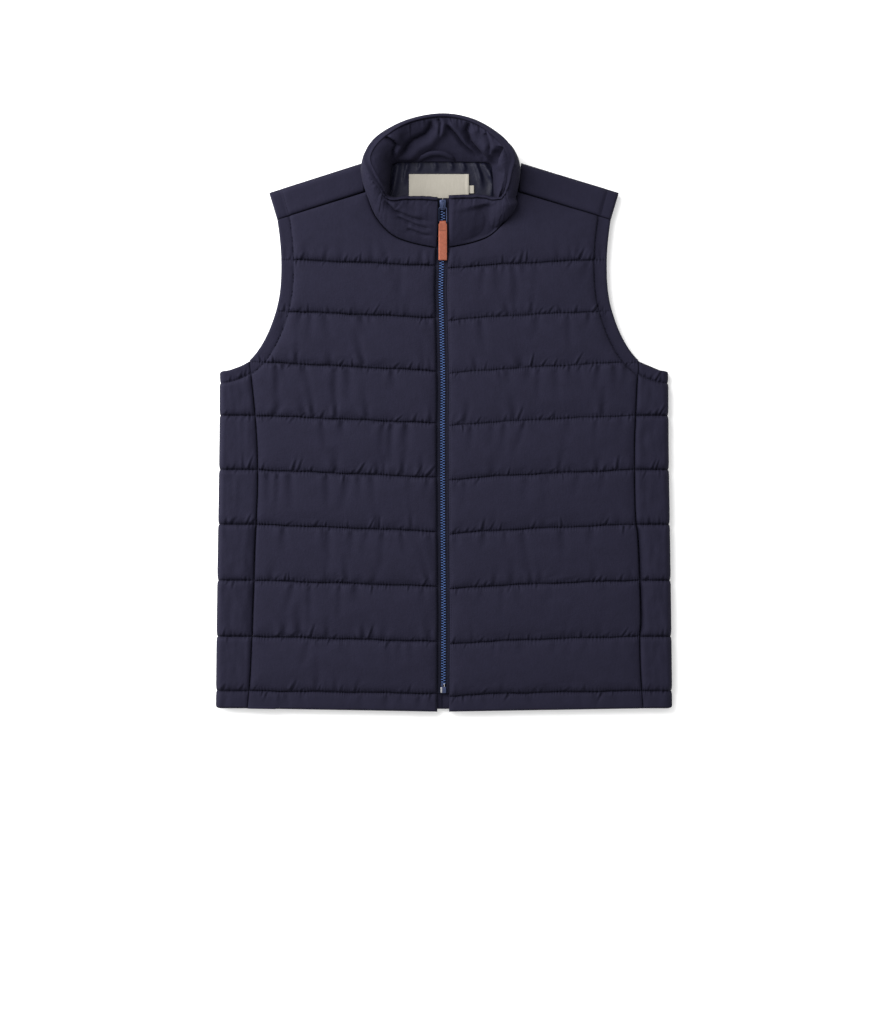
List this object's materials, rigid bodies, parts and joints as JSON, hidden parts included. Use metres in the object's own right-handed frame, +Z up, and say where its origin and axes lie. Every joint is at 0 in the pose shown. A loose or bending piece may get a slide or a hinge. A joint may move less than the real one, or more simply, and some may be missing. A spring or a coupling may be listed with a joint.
{
  "type": "quilted vest",
  "caption": "Padded zip-front vest with quilted channels, a stand collar and side-seam pockets, laid flat with its front up.",
  "frame": {"origin": "On the resting plane under the middle of the hem's width, 373 mm from the hem.", "axes": "+X to the right as seen from above, +Y from the hem to the collar, +Z up, out of the front"},
  "size_m": [0.5688, 0.7417, 0.0528],
  "materials": {
    "shell": "matt plain weave, dark navy",
    "lining": "satin, blue-grey",
    "label": "woven, cream",
    "zip_tape": "woven tape, dark navy",
    "zip_teeth": "moulded, blue",
    "zip_metal": "enamelled, blue-grey",
    "leather": "tan"
  },
  "bodies": {
    "garment": {"front_left": "shell", "front_right": "shell", "side_left": "shell", "side_right": "shell", "back": "shell", "collar": "shell", "pocket_edge_left": "shell", "pocket_edge_right": "shell", "hanger_loop": "shell", "lining_back": "lining", "label": "label", "size_tag": "label", "zip_tape_left": "zip_tape", "zip_tape_right": "zip_tape", "zip_chain": "zip_teeth", "zip_box": "zip_metal", "zip_slider": "zip_metal"},
    "pull": {"zip_puller": "zip_metal", "pull_tab": "leather"}
  },
  "joints": [
    {"name": "pull_swing", "type": "hinge", "parent": "garment", "child": "pull", "pos_m": [-0.0015, 0.25291, 0.02628], "axis": [-1, 0, 0], "range_deg": [0, 150]}
  ]
}
